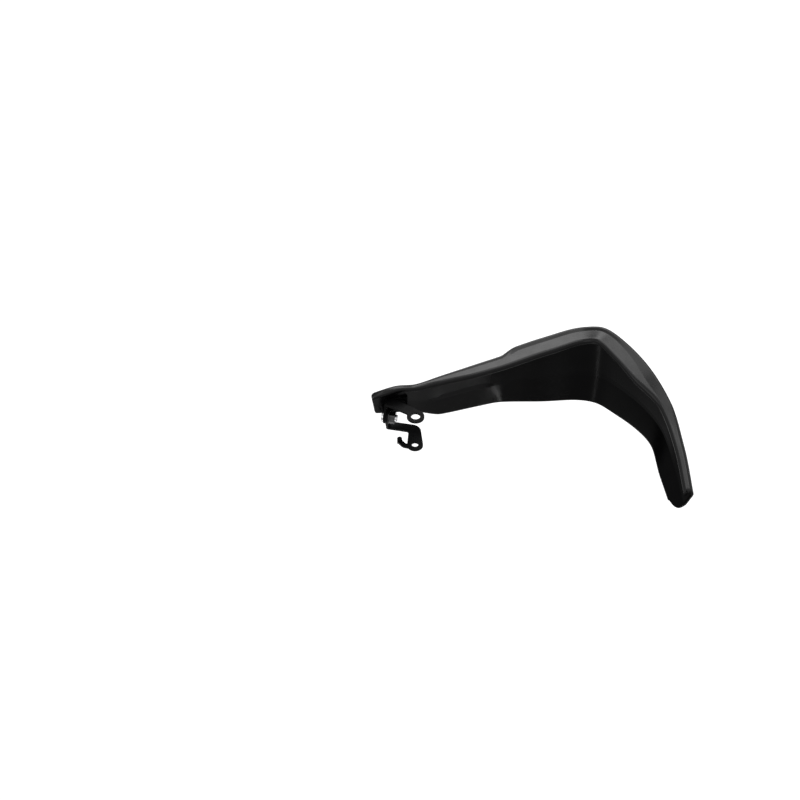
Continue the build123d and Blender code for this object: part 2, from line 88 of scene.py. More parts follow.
class FinishGraph:
    """Node tree of one finish around a single principled shader."""

    def __init__(self, name: str) -> None:
        """Makes the material with its shader, its output and its Object coordinates.

        Args:
            name: the material's name.
        """
        self.material = bpy.data.materials.new(name)
        self.material.use_nodes = True
        self.tree = self.material.node_tree
        self.tree.nodes.clear()
        self.shader = self.add("ShaderNodeBsdfPrincipled")
        output = self.add("ShaderNodeOutputMaterial")
        self.join(self.shader.outputs["BSDF"], output.inputs["Surface"])
        self.place = self.add("ShaderNodeTexCoord").outputs["Object"]

    def add(self, kind: str, **settings: Any) -> bpy.types.Node:
        """Adds a node.

        Args:
            kind: the node's type name.
            settings: attributes of the node to set.

        Returns:
            The new node.
        """
        node = self.tree.nodes.new(kind)
        for key, value in settings.items():
            setattr(node, key, value)
        return node

    def join(self, source: bpy.types.NodeSocket, target: bpy.types.NodeSocket) -> None:
        """Links one socket to another.

        Args:
            source: the socket that gives the value.
            target: the socket that takes it.
        """
        self.tree.links.new(source, target)

    def fix(self, **values: Any) -> None:
        """Sets constant values on the shader's own sockets.

        Args:
            values: the value for each socket, named with _ for a space.
        """
        for key, value in values.items():
            self.shader.inputs[key.replace("_", " ")].default_value = value

    def noise(
        self, cell: float, detail: float = 2.0, stretch: Point = (1, 1, 1)
    ) -> bpy.types.NodeSocket:
        """Cloudy pattern on the Object coordinates.

        Args:
            cell: size of one cloud in millimetres.
            detail: how many finer layers are added.
            stretch: factor on the pattern's frequency along each axis.

        Returns:
            The pattern's value socket, about 0 to 1.
        """
        mapping = self.add("ShaderNodeMapping")
        mapping.inputs["Scale"].default_value = stretch
        self.join(self.place, mapping.inputs["Vector"])
        node = self.add("ShaderNodeTexNoise")
        node.inputs["Scale"].default_value = 1 / (cell * MM)
        node.inputs["Detail"].default_value = detail
        self.join(mapping.outputs["Vector"], node.inputs["Vector"])
        return node.outputs["Fac"]

    def tint(self, share: bpy.types.NodeSocket, dark: Colour, light: Colour) -> None:
        """Colours the shader between two tones by a pattern.

        Args:
            share: the pattern.
            dark: colour at the pattern's low end.
            light: colour at its high end.
        """
        ramp = self.add("ShaderNodeValToRGB")
        low, high = ramp.color_ramp.elements
        low.position, high.position = PATTERN_ENDS
        low.color, high.color = (*dark, 1), (*light, 1)
        self.join(share, ramp.inputs["Fac"])
        self.join(ramp.outputs["Color"], self.shader.inputs["Base Color"])

    def spread(
        self, share: bpy.types.NodeSocket, source: Span, target: Span, name: str
    ) -> None:
        """Varies one of the shader's values with a pattern.

        Args:
            share: the pattern.
            source: low and high end of the pattern.
            target: values at those ends.
            name: the shader's socket.
        """
        node = self.add("ShaderNodeMapRange")
        names = ("From Min", "From Max", "To Min", "To Max")
        for key, value in zip(names, (*source, *target)):
            node.inputs[key].default_value = value
        self.join(share, node.inputs["Value"])
        self.join(node.outputs["Result"], self.shader.inputs[name])

    def sheen_spread(self, share: bpy.types.NodeSocket, gloss: Span) -> None:
        """Varies the shader's roughness between two values by a pattern.

        Args:
            share: the pattern.
            gloss: roughness at the pattern's low and high end.
        """
        self.spread(share, PATTERN_ENDS, gloss, "Roughness")

    def grain(self, height: bpy.types.NodeSocket, strength: float, depth: float) -> None:
        """Raises a pattern out of the surface.

        Args:
            height: the pattern.
            strength: share of the effect.
            depth: height of the pattern in millimetres.
        """
        bump = self.add("ShaderNodeBump")
        bump.inputs["Strength"].default_value = strength
        bump.inputs["Distance"].default_value = depth * MM
        self.join(height, bump.inputs["Height"])
        self.join(bump.outputs["Normal"], self.shader.inputs["Normal"])


@dataclass(frozen=True)
class MouldedPlastic:
    """Black plastic with a fine grain and faint flow clouds, with its reflection turned down on the
    inside as painted shade.
    """

    dark: Colour = (0.0018, 0.0018, 0.0019)
    light: Colour = (0.0034, 0.0034, 0.0036)
    gloss: Span = (0.20, 0.27)
    # Reflection level outside and inside: the low inside level is painted shade, not a property of the
    # plastic
    specular: Span = (0.25, 0.03)
    grain_cell: float = 0.55
    grain_depth: float = 0.02
    grain_strength: float = 0.12
    cloud_cell: float = 26.0
    sheen_patches: float = 3.0

    def material(self) -> bpy.types.Material:
        """Makes the node material.

        Returns:
            The material.
        """
        graph = FinishGraph(Slot.MOULDED_PLASTIC.value)
        graph.tint(graph.noise(self.cloud_cell, detail=4.0), self.dark, self.light)
        sheen_cell = self.cloud_cell / self.sheen_patches
        graph.sheen_spread(graph.noise(sheen_cell, detail=5.0), self.gloss)
        grain = graph.noise(self.grain_cell, detail=3.0)
        graph.grain(grain, self.grain_strength, self.grain_depth)
        # The inner attribute turns the reflection down on the inside: painted shade
        inner = graph.add("ShaderNodeAttribute", attribute_name="inner").outputs["Fac"]
        graph.spread(inner, (0.0, 1.0), self.specular, "Specular IOR Level")
        return graph.material


@dataclass(frozen=True)
class SatinPaint:
    """Black baked paint on steel, with a slight orange peel."""

    dark: Colour = (0.0016, 0.0016, 0.0017)
    light: Colour = (0.0032, 0.0032, 0.0034)
    gloss: Span = (0.42, 0.52)
    specular: float = 0.05
    cloud_cell: float = 6.0
    sheen_cell: float = 3.0
    peel_cell: float = 0.9
    peel_depth: float = 0.04
    peel_strength: float = 0.2

    def material(self) -> bpy.types.Material:
        """Makes the node material.

        Returns:
            The material.
        """
        graph = FinishGraph(Slot.BLACK_STEEL.value)
        graph.fix(Specular_IOR_Level=self.specular)
        graph.tint(graph.noise(self.cloud_cell, detail=4.0), self.dark, self.light)
        graph.sheen_spread(graph.noise(self.sheen_cell, detail=4.0), self.gloss)
        graph.grain(graph.noise(self.peel_cell), self.peel_strength, self.peel_depth)
        return graph.material


@dataclass(frozen=True)
class ZincPlate:
    """Zinc plating with faint clouds and fine tool marks."""

    name: str = Slot.BRIGHT_ZINC.value
    dark: Colour = (0.40, 0.40, 0.41)
    light: Colour = (0.62, 0.62, 0.62)
    gloss: Span = (0.18, 0.30)
    cloud_cell: float = 2.5
    sheen_cell: float = 1.2
    mark_cell: float = 0.35
    mark_stretch: Point = (0.25, 1.0, 1.0)
    mark_depth: float = 0.02
    mark_strength: float = 0.15

    def material(self) -> bpy.types.Material:
        """Makes the node material.

        Returns:
            The material.
        """
        graph = FinishGraph(self.name)
        graph.fix(Metallic=1.0)
        graph.tint(graph.noise(self.cloud_cell, detail=4.0), self.dark, self.light)
        graph.sheen_spread(graph.noise(self.sheen_cell, detail=3.0), self.gloss)
        marks = graph.noise(self.mark_cell, stretch=self.mark_stretch)
        graph.grain(marks, self.mark_strength, self.mark_depth)
        return graph.material


# Darker, rougher zinc for the washer and the nut
DULL_ZINC = ZincPlate(
    name="dull_zinc",
    dark=(0.03, 0.03, 0.03),
    light=(0.06, 0.06, 0.06),
    gloss=(0.3, 0.4),
)


def unit(vectors: np.ndarray) -> np.ndarray:
    """Divides vectors by their lengths.

    Args:
        vectors: vectors along the last axis.

    Returns:
        Vectors of length one.
    """
    return vectors / np.linalg.norm(vectors, axis=-1, keepdims=True)


def soft_step(share: np.ndarray) -> np.ndarray:
    """Share with soft ends: three squares less two cubes.

    Args:
        share: values that are held between 0 and 1 first.

    Returns:
        The softened share.
    """
    share = np.clip(share, 0.0, 1.0)
    return share * share * (3 - 2 * share)


def soft_ramp(distance: np.ndarray, span: Span) -> np.ndarray:
    """Share from 0 to 1 over a span, with soft ends.

    Args:
        distance: distances along a path.
        span: where the share starts and where it is whole.

    Returns:
        The share at each distance.
    """
    return soft_step((distance - span[0]) / (span[1] - span[0]))


def soft_min(first: np.ndarray, second: np.ndarray, width: float) -> np.ndarray:
    """Smaller of two values, less a quarter of the width where they cross.

    Args:
        first: one set of values.
        second: the other set.
        width: difference below which the two blend.

    Returns:
        The blended minimum.
    """
    near = np.clip(width - np.abs(first - second), 0.0, None) / width
    return np.minimum(first, second) - near * near * width / 4


def grid_faces(rows: int, columns: int) -> np.ndarray:
    """Quads of a grid whose columns close into a ring.

    Args:
        rows: number of rings.
        columns: points on each ring.

    Returns:
        One row of four point numbers for each quad.
    """
    row = np.arange(rows - 1)[:, None] * columns
    here = np.arange(columns)[None, :]
    after = (here + 1) % columns
    corners = (row + here, row + after, row + columns + after, row + columns + here)
    return np.stack(corners, axis=-1).reshape(-1, 4)


def ring_caps(rows: int, columns: int) -> np.ndarray:
    """Fans of triangles that close the first and the last ring of a grid.

    Args:
        rows: number of rings.
        columns: points on each ring.

    Returns:
        Point numbers of the triangles.
    """
    k = np.arange(1, columns - 1)
    fan = np.stack([np.zeros_like(k), k + 1, k], axis=-1)
    return np.concatenate([fan, fan[:, ::-1] + (rows - 1) * columns])


@dataclass
class SurfaceMesh:
    """Points in millimetres and faces of one piece, gathered from closed surfaces."""

    name: str
    points: list[np.ndarray] = field(default_factory=list)
    # Share of painted inside shade for each point, read by the plastic as the inner attribute
    inner: list[np.ndarray] = field(default_factory=list)
    faces: list[list[int]] = field(default_factory=list)
    count: int = 0

    def take(
        self, points: np.ndarray, quads: np.ndarray, triangles: np.ndarray, inner: np.ndarray
    ) -> None:
        """Adds a closed surface, turned so that its faces point outward.

        The sum of each face's corner product is six times the volume, so a negative sum means
        that the faces point inward, and their corners are put in the other order.

        Args:
            points: the surface's points.
            quads: point numbers of its four-sided faces.
            triangles: point numbers of its three-sided faces.
            inner: share of painted inside shade, from 0 on the outside of the wall to 1 on its inside,
                for each point.
        """
        halves = np.concatenate([quads[:, [0, 1, 2]], quads[:, [0, 2, 3]], triangles])
        a, b, c = points[halves[:, 0]], points[halves[:, 1]], points[halves[:, 2]]
        if np.einsum("ij,ij->", a, np.cross(b, c)) < 0:
            quads, triangles = quads[:, ::-1], triangles[:, ::-1]
        self.points.append(points)
        self.inner.append(inner)
        self.faces += (quads + self.count).tolist() + (triangles + self.count).tolist()
        self.count += len(points)

    def make(self) -> bpy.types.Object:
        """Puts the surfaces into one smooth-shaded object at the origin.

        Returns:
            The new object.
        """
        mesh = bpy.data.meshes.new(self.name)
        mesh.from_pydata(np.concatenate(self.points) * MM, [], self.faces)
        mesh.polygons.foreach_set("use_smooth", np.ones(len(mesh.polygons), dtype=bool))
        # The inner attribute carries the painted inside shade
        shares = mesh.attributes.new("inner", "FLOAT", "POINT")
        shares.data.foreach_set("value", np.concatenate(self.inner))
        mesh.update()
        piece = bpy.data.objects.new(self.name, mesh)
        bpy.context.scene.collection.objects.link(piece)
        return piece


@dataclass
class ShieldShell:
    """Moulded shell: one even wall carried along a path from the tongue to the tail.

    Most sizes repeat those of the solid part. The flange, the lip, the lower facet before the
    corner and the rounds of the ends are fitted to the look. Distances run along the path of the
    shoulder from the first key section, and every length is in millimetres.
    """

    reach: float = 249.5
    depth: float = 161.2
    wall: float = 3.0
    crease_share: float = 0.34
    crease_tuck: float = 0.45
    crease_round: float = 0.9
    shoulder_run: float = 0.85
    lip_drops: Span = (2.2, 2.4)
    lip_rounds: Span = (3.2, 3.4)
    panel_rise: float = 2.0
    panel_setback: float = 0.7
    panel_start: Span = (127.0, 145.0)
    panel_stop: Span = (310.0, 345.0)
    crest_round: float = 2.2
    foot_shares: Span = (0.2, 0.97)
    foot_span: Span = (235.0, 330.0)
    foot_round: float = 1.0
    plain_share: float = 0.55
    ledge_rise: float = 2.4
    ledge_step: float = 0.06
    ledge_start: Span = (56.0, 76.0)
    ledge_stop: Span = (104.0, 126.0)
    ledge_round: float = 1.2
    faded_share: float = 0.04
    # Share of painted inside shade along the arm and past the ledge
    inside_shade_levels: Span = (0.55, 1.0)
    tongue_end: tuple[Span, ...] = ((-16.0, 17.0), (-37.0, 7.2), (-33.4, -14.8), (-18.0, -25.0))
    tongue_rounds: Span = (5.0, 5.0)
    tip_end: tuple[Span, ...] = ((-56.0, -16.0), (-81.6, -36.4), (-81.6, -59.8), (-56.0, -66.0))
    tip_rounds: Span = (8.0, 6.0)
    tip_blend: float = 8.0
    rim_round: float = 0.9
    seat_face: float = 25.0
    screw_place: Span = (-11.5, -5.5)
    pad_span: Span = (20.0, 40.0)
    pad_heights: Span = (-13.8, 1.4)
    pad_edge: float = 0.6
    pad_power: float = 0.12
    pad_closing: float = 10.0
    pad_least: float = 0.02
    boss_size: float = 14.0
    boss_hole: float = 8.2
    boss_face: float = 32.6
    boss_back: float = 0.8
    boss_edge: float = 0.6
    boss_bevel: float = 0.1
    boss_foot: float = 1.4
    boss_run: float = 0.3
    fine_step: float = 0.5
    easing: float = 5.0
    eased_start: Span = (150.0, 185.0)
    eased_stop: Span = (285.0, 320.0)
    rings: int = 330
    fade: float = 40.0
    shading_weight: int = 60

    def __post_init__(self) -> None:
        """Places the key sections and works out their gaps and slopes.

        The columns are the share of the reach outboard, the share of the depth forward, top,
        bottom, flange and tuck. In plan the slope at a section is the mean of the rates on both
        sides, weighted by the other side's gap. The other values take the harmonic mean of the
        two rates, or none at a turn, so that they never overshoot.
        """
        keys = np.array((
            (-0.1303, 0.0074, 5.0, -13.1, 3.0, 0.3),
            (-0.0100, 0.0205, 13.1, -16.0, 3.0, 0.5),
            (0.0621, 0.0465, 9.8, -19.8, 3.2, 2.5),
            (0.1423, 0.0825, 12.3, -25.2, 7.0, 7.5),
            (0.2745, 0.1371, 17.0, -26.3, 13.4, 8.5),
            (0.3788, 0.1774, 20.2, -33.9, 15.0, 3.5),
            (0.5311, 0.2326, 25.2, -44.3, 15.0, 4.6),
            (0.6794, 0.2742, 27.9, -51.8, 14.0, 5.5),
            (0.7471, 0.2419, 30.6, -52.2, 14.6, 7.5),
            (0.7764, 0.2066, 28.9, -52.1, 14.6, 8.8),
            (0.8044, 0.1625, 26.5, -51.7, 16.2, 10.0),
            (0.8830, 0.0192, 15.2, -48.0, 17.0, 14.0),
            (0.9515, -0.1768, -2.5, -44.0, 7.8, 17.8),
            (0.9872, -0.4156, -20.0, -49.0, 7.0, 21.9),
            (0.9976, -0.6266, -35.0, -57.5, 6.5, 18.8),
            (1.0012, -0.7258, -42.0, -61.5, 6.0, 17.6),
        ))
        keys[:, 0] = self.screw_place[0] + self.reach * keys[:, 0]
        keys[:, 1] = self.seat_face + self.depth * keys[:, 1]
        self.keys = keys
        self.gaps = np.hypot(*np.diff(keys[:, :2], axis=0).T)
        self.marks = np.concatenate([[0.0], np.cumsum(self.gaps)])
        rates = np.diff(keys, axis=0) / self.gaps[:, None]
        before, after = rates[:-1], rates[1:]
        share = (self.gaps[1:] / (self.gaps[:-1] + self.gaps[1:]))[:, None]
        path = share * before[:, :2] + (1 - share) * after[:, :2]
        product = before[:, 2:] * after[:, 2:]
        total = before[:, 2:] + after[:, 2:]
        steady = np.where(product > 0, 2 * product / np.where(product > 0, total, 1.0), 0.0)
        self.slopes = np.vstack([rates[:1], np.hstack([path, steady]), rates[-1:]])

    def stations(self, distance: np.ndarray) -> np.ndarray:
        """Sections at distances along the path, as cubic blends between the key sections.

        Args:
            distance: distances along the path.

        Returns:
            The six values of each section.
        """
        index = np.searchsorted(self.marks, distance, side="right") - 1
        index = np.clip(index, 0, len(self.gaps) - 1)
        gap = self.gaps[index][:, None]
        t = (distance - self.marks[index])[:, None] / gap
        p, q = self.keys[index], self.keys[index + 1]
        m, n = self.slopes[index], self.slopes[index + 1]
        bend = (m + n) * gap - 2 * (q - p)
        sag = 3 * (q - p) - (2 * m + n) * gap
        return p + t * (m * gap + t * (sag + t * bend))

    def eased(self, sizes: np.ndarray) -> np.ndarray:
        """Fine sections evened out by a bell-shaped mean over a short run of the path.

        Past both ends the values go on as their mirror image through the end value, so that
        straight runs stay straight.

        Args:
            sizes: sections at even fine steps.

        Returns:
            The evened sections.
        """
        half = int(BELL_REACH * self.easing / self.fine_step)
        offset = np.arange(-half, half + 1) * self.fine_step / self.easing
        bell = np.exp(-offset * offset / 2)
        before = 2 * sizes[:1] - sizes[half:0:-1]
        after = 2 * sizes[-1:] - sizes[-2:-half - 2:-1]
        long = np.concatenate([before, sizes, after])
        windows = np.lib.stride_tricks.sliding_window_view(long, len(bell), axis=0)
        return windows @ (bell / bell.sum())

    def grown(self, distance: np.ndarray, start: Span, stop: Span) -> np.ndarray:
        """Share of a raised feature that grows over one span and fades to a line over another.

        Args:
            distance: distances along the path.
            start: span where it grows.
            stop: span where it fades.

        Returns:
            The share at each distance.
        """
        share = soft_ramp(distance, start) - soft_ramp(distance, stop)
        return self.faded_share + (1 - self.faded_share) * share

    def wall_line(self, distance: np.ndarray, sizes: np.ndarray, panel: np.ndarray) -> np.ndarray:
        """Seven corners of the wall's middle line, from the bottom edge up to the lip.

        Args:
            distance: distances along the path.
            sizes: section values at those distances.
            panel: share of the raised panel there.

        Returns:
            For each distance seven points, as the distance outward and the height.
        """
        top, bottom, flange, tuck = sizes[:, 2:].T
        half = self.wall / 2
        height = top - bottom
        crease = bottom + self.crease_share * height
        foot = -self.crease_tuck * tuck
        head = foot * (1 - self.ledge_step / (1 - self.crease_share))
        ledge = self.ledge_rise * self.grown(distance, self.ledge_start, self.ledge_stop)
        foot_share = np.interp(soft_ramp(distance, self.foot_span), (0, 1), self.foot_shares)
        plain = self.plain_share * flange
        panel_foot = plain + panel * (foot_share * (flange - half) - plain)
        lip = -flange - half
        lip_drop = np.interp(panel, (0, 1), self.lip_drops)
        shoulder = -self.panel_setback * panel
        out = (-tuck, foot, head + ledge, shoulder, -panel_foot - half, lip, lip)
        crest = top + self.panel_rise * panel
        up = (bottom, crease, crease + self.ledge_step * height, crest, top, top, top - lip_drop)
        return np.stack([np.stack(out, axis=-1), np.stack(up, axis=-1)], axis=-1)

    @staticmethod
    def shifted(points: np.ndarray, amount: float) -> np.ndarray:
        """Lines moved sideways with mitred corners, outward where the amount is positive.

        Args:
            points: corners of the lines.
            amount: how far they move.

        Returns:
            The moved corners.
        """
        ways = unit(np.diff(points, axis=1))
        sides = np.stack([ways[..., 1], -ways[..., 0]], axis=-1)
        before, after = sides[:, :-1], sides[:, 1:]
        joints = (before + after) / (1 + np.sum(before * after, axis=-1, keepdims=True))
        return points + amount * np.concatenate([sides[:, :1], joints, sides[:, -1:]], axis=1)

    @staticmethod
    def rounded(points: np.ndarray, reaches: np.ndarray) -> np.ndarray:
        """Lines with their inner corners turned into round arcs.

        Each arc is a rational quadratic from one tangent point to the other, with the corner
        between them weighted by the cosine of half the turn, which makes it exactly round.
        Straight stretches get a few points of their own.

        Args:
            points: corners of the lines.
            reaches: distance of the tangent points from each inner corner.

        Returns:
            The points of the rounded lines.
        """
        ways = unit(np.diff(points, axis=1))
        corner = points[:, 1:-1]
        start = corner - reaches[..., None] * ways[:, :-1]
        stop = corner + reaches[..., None] * ways[:, 1:]
        weight = np.sqrt((1 + np.sum(ways[:, :-1] * ways[:, 1:], axis=-1)) / 2)
        flat_from = np.concatenate([points[:, :1], stop], axis=1)
        flat_to = np.concatenate([start, points[:, -1:]], axis=1)
        runs = [points[:, :1]]
        for k, (between, samples) in enumerate(zip(FLAT_SAMPLES, (*ARC_SAMPLES, 0))):
            flat = np.linspace(*FLAT_ENDS, between)[None, :, None]
            runs.append(flat_from[:, k:k + 1] * (1 - flat) + flat_to[:, k:k + 1] * flat)
            if samples:
                t = np.linspace(0, 1, samples)[None, :, None]
                middle = 2 * weight[:, k, None, None] * t * (1 - t)
                first, last = (1 - t) ** 2 * start[:, k:k + 1], t ** 2 * stop[:, k:k + 1]
                arc = first + middle * corner[:, k:k + 1] + last
                runs.append(arc / ((1 - t) ** 2 + middle + t ** 2))
        return np.concatenate(runs + [points[:, -1:]], axis=1)

    def loops(self, distance: np.ndarray) -> np.ndarray:
        """Closed section outlines in space: outside, round lip, inside and round bottom edge.

        Along the crest the inside takes up a share of the flat beside it. The outside keeps the
        wall even where there is no panel, and has a tight round where the panel stands.

        Args:
            distance: fine even distances along the path.

        Returns:
            For each distance a closed ring of points in space.
        """
        sizes = self.stations(distance)
        share = soft_ramp(distance, self.eased_start) - soft_ramp(distance, self.eased_stop)
        sizes = sizes + share[:, None] * (self.eased(sizes) - sizes)
        along = unit(np.gradient(sizes[:, :2], axis=0))
        panel = self.grown(distance, self.panel_start, self.panel_stop)
        middle = self.wall_line(distance, sizes, panel)
        half = self.wall / 2
        ways = unit(np.diff(middle, axis=1))
        turn = np.arccos(np.clip(np.sum(ways[:, :-1] * ways[:, 1:], axis=-1), -1, 1))
        tangent = np.tan(turn / 2)
        outside, inside = self.shifted(middle, half), self.shifted(middle, -half)
        beside_crest = np.linalg.norm(inside[:, 4] - inside[:, 3], axis=-1)
        inner = self.shoulder_run * beside_crest / tangent[:, 2]
        outer = inner + self.wall + panel * (self.crest_round - inner - self.wall)
        even = np.ones_like(inner)
        crease, ledge, foot = even * self.crease_round, even * self.ledge_round, even * self.foot_round
        lip_round = np.interp(panel, (0, 1), self.lip_rounds)
        outlines = []
        for line, crest, lip in ((outside, outer, lip_round), (inside, inner, 0.0 * even)):
            rounds = np.stack([crease, ledge, crest, foot, lip], axis=-1)
            lengths = np.linalg.norm(np.diff(line, axis=1), axis=-1)
            room = np.minimum(lengths[:, :-1], lengths[:, 1:]) * np.array(CORNER_ROOM)
            outlines.append(self.rounded(line, np.minimum(rounds * tangent, room)))
        angle = np.linspace(0, np.pi, END_SAMPLES + 2)[1:-1][None, :, None]
        lip_way, edge_way = ways[:, -1:], -ways[:, :1]
        lip_side = np.stack([lip_way[..., 1], -lip_way[..., 0]], axis=-1)
        edge_side = np.stack([-edge_way[..., 1], edge_way[..., 0]], axis=-1)
        lip_end = middle[:, -1:] + half * (lip_side * np.cos(angle) + lip_way * np.sin(angle))
        edge = middle[:, :1] + half * (edge_way * np.sin(angle) - edge_side * np.cos(angle))
        flat_loop = np.concatenate([outlines[0], lip_end, outlines[1][:, ::-1], edge], axis=1)
        outward = np.stack([-along[:, 1], along[:, 0]], axis=-1)
        plan = sizes[:, None, :2] + flat_loop[..., :1] * outward[:, None, :]
        return np.concatenate([plan, flat_loop[..., 1:]], axis=-1)

    @staticmethod
    def end_depth(place: np.ndarray, corners: tuple[Span, ...], rounds: Span) -> np.ndarray:
        """How far points lie inside an end's rounded outline.

        It is the least of the distances to the outline's straight lines, each counted positive
        to the left of the line. Two neighbours blend over a width of four radii times one less
        the cosine of half the turn, which cuts the corner as deep as an arc of that radius does.

        Args:
            place: points as the place along the end and the height.
            corners: corners of the outline's lines, in order.
            rounds: radii of the outline's two inner corners.

        Returns:
            The depth of each point.
        """
        ways = unit(np.diff(np.array(corners), axis=0))
        sides = np.stack([-ways[:, 1], ways[:, 0]], axis=-1)
        depths = [(place - corner) @ side for corner, side in zip(corners, sides)]
        half_turn_cosine = np.sqrt((1 + np.sum(ways[:-1] * ways[1:], axis=-1)) / 2)
        widths = 4 * np.array(rounds) * (1 - half_turn_cosine)
        least = depths[0]
        for depth, width in zip(depths[1:], widths):
            least = soft_min(least, depth, width)
        return least

    def end_marks(self, grid: np.ndarray, fine: np.ndarray) -> tuple[np.ndarray, np.ndarray]:
        """Distances at which each column of the wall meets the two cut ends.

        The tongue's end is an outline in X and Z, and the tail's in Y and Z. At the tail the
        bottom edge also blends into the cut, by the distance from that edge.

        Args:
            grid: fine rings of the wall.
            fine: their distances along the path.

        Returns:
            For each column its first and last distance.
        """
        inside_tongue = self.end_depth(grid[..., [0, 2]], self.tongue_end, self.tongue_rounds)
        inside_tip = self.end_depth(grid[..., [1, 2]], self.tip_end, self.tip_rounds)
        edge = (grid[:, :1] + grid[:, -END_SAMPLES - 1:-END_SAMPLES]) / 2
        rise = np.linalg.norm(grid - edge, axis=-1) - self.wall / 2
        inside_tip = soft_min(inside_tip, np.maximum(rise, EDGE_FLOOR), self.tip_blend)
        columns = np.arange(grid.shape[1])
        first = np.argmax(inside_tongue[:len(fine) // 2] >= 0, axis=0)
        ahead = np.abs(inside_tongue[first - 1, columns])
        starts = fine[first - 1] + self.fine_step * ahead / (ahead + inside_tongue[first, columns])
        last = len(fine) - np.argmax(inside_tip[::-1] >= 0, axis=0) - 1
        within = inside_tip[last, columns]
        beyond = np.abs(inside_tip[last + 1, columns])
        stops = fine[last] + self.fine_step * within / (within + beyond)
        return starts, stops

    def ring_places(self, starts: np.ndarray, stops: np.ndarray) -> tuple[np.ndarray, np.ndarray]:
        """Distances of all points on the rings, and how far each ring closes in on the wall.

        The rings are even along the path, and warped near the ends so that the first and the
        last lie on the cuts. There the rim is rounded by rings on a quarter circle.

        Args:
            starts: distance at which each column meets the tongue's end.
            stops: distance at which it meets the tail's end.

        Returns:
            A distance for each ring and column, and a depth for each ring.
        """
        starts, stops = starts + self.rim_round, stops - self.rim_round
        first, last = starts.mean(), stops.mean()
        base = np.linspace(first, last, self.rings)[:, None]
        warp = (starts - first) * (1 - soft_step((base - first) / self.fade))
        warp = warp + (stops - last) * soft_step((base - last + self.fade) / self.fade)
        angles = np.radians(RIM_ANGLES)[:, None]
        head = starts - self.rim_round * np.sin(angles)
        tail = stops + self.rim_round * np.sin(angles[::-1])
        closing = self.rim_round * (1 - np.cos(angles))
        depth = np.concatenate([closing, np.zeros((self.rings, 1)), closing[::-1]])
        return np.concatenate([head, base + warp, tail]), depth

    @staticmethod
    def wall_faces(rows: int, side: int, mate: np.ndarray) -> tuple[np.ndarray, np.ndarray]:
        """Faces of the wall: its rings, and a ladder across the wall that closes each end.

        Args:
            rows: number of rings.
            side: number of the lip's first point on a ring.
            mate: for each point of a ring the one across the wall.

        Returns:
            Quads and triangles.
        """
        columns = len(mate)
        rungs = np.concatenate([np.arange(columns - 2, columns), np.arange(side + 2)])
        here, after = rungs[:-1], rungs[1:]
        ladder = np.stack([here, after, mate[after], mate[here]], axis=-1)
        bottom_tip = (columns - 3, rungs[0], mate[rungs[0]])
        lip_tip = (rungs[-1], side + 2, mate[rungs[-1]])
        tips = np.array((bottom_tip, lip_tip))
        final = (rows - 1) * columns
        quads = np.concatenate([grid_faces(rows, columns), ladder, ladder[:, ::-1] + final])
        return quads, np.concatenate([tips, tips[:, ::-1] + final])

    def painted_shade_shares(self, distance: np.ndarray, side: int) -> np.ndarray:
        """Share of painted inside shade at each point, from 0 outside to 1 inside, by which the
        plastic turns its reflection down.

        It grows over the points before the lip. Along the arm the inside keeps a smaller share of
        painted shade, apart from the lip's end, which takes the whole share and so is darkened too.

        Args:
            distance: distance along the path of each ring and column.
            side: number of the lip's first point on a ring.

        Returns:
            The share for each ring and column.
        """
        column = np.arange(distance.shape[1])
        from_lip = column - (side - LIP_ZONE)
        inner = soft_step(from_lip / LIP_ZONE) * (column < len(column) - END_SAMPLES)
        # Painted shade inside: a smaller share along the arm, the whole share past the ledge
        deep = np.interp(soft_ramp(distance, self.ledge_stop), (0, 1), self.inside_shade_levels)
        # The lip's end takes the whole share of painted shade
        lip_end = 1.0 - soft_step((from_lip - LIP_ZONE - END_SAMPLES) / LIP_ZONE)
        return inner * np.maximum(deep, lip_end)

    def skin(self) -> Surface:
        """Whole wall as one closed surface.

        Fine rings are read at the places of the final ones by a straight blend of two
        neighbours. At the cut ends each point then moves toward its mate across the wall.

        Returns:
            Points, quads, triangles and shares of painted inside shade.
        """
        fine = np.arange(0.0, self.marks[-1], self.fine_step)
        grid = self.loops(fine)
        distance, depth = self.ring_places(*self.end_marks(grid, fine))
        place = np.clip(distance / self.fine_step, 0, len(fine) - LAST_STEP)
        low = place.astype(int)
        part = (place - low)[..., None]
        column = np.arange(grid.shape[1])
        points = grid[low, column] * (1 - part) + grid[low + 1, column] * part
        side = len(column) // 2 - END_SAMPLES
        mate = (2 * side + END_SAMPLES - 1 - column) % len(column)
        across = points[:, mate] - points
        gap = np.linalg.norm(across, axis=-1)
        move = np.minimum(depth, RIM_LIMIT * gap) / np.maximum(gap, TINY)
        points = points + across * move[..., None]
        quads, triangles = self.wall_faces(len(points), side, mate)
        shares = self.painted_shade_shares(distance, side)
        return points.reshape(-1, 3), quads, triangles, shares.ravel()

